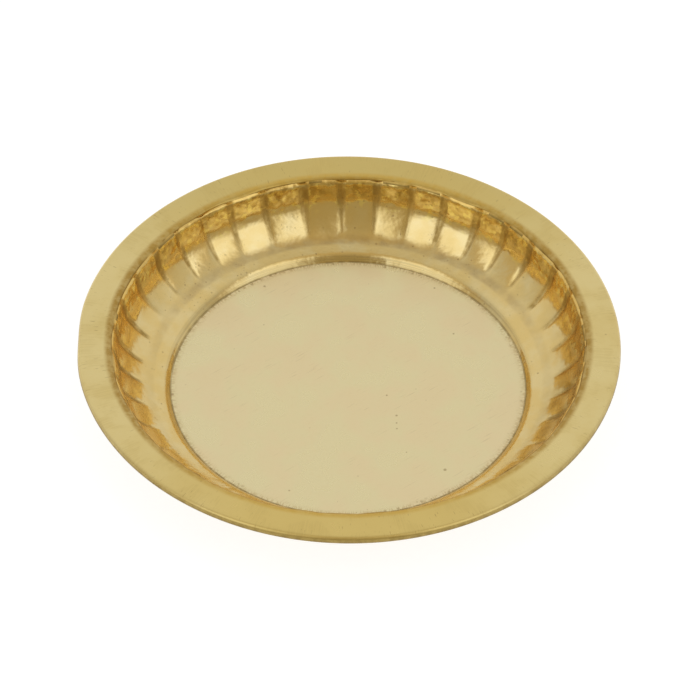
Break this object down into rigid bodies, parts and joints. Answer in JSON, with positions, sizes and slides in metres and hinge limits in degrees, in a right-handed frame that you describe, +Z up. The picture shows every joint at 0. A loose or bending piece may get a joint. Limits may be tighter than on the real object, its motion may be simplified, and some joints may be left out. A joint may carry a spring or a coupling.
{
  "type": "shallow lobed dish",
  "caption": "Shallow round brass dish pressed from sheet, with a sunk disc, a wall of pillowed lobes and a flat rim with a curled edge.",
  "frame": {"origin": "middle of the flat underside that the dish rests on", "axes": "+Z up along the axis of the round dish; -Y towards the viewer; X and Y are otherwise free"},
  "size_m": [0.18, 0.18, 0.0224],
  "materials": {
    "sheet_brass": "satin polished, with fine scratches",
    "wire_brass": "drawn, dull"
  },
  "bodies": {
    "root": {"dish": "sheet_brass", "rim_wire": "wire_brass"}
  },
  "joints": []
}
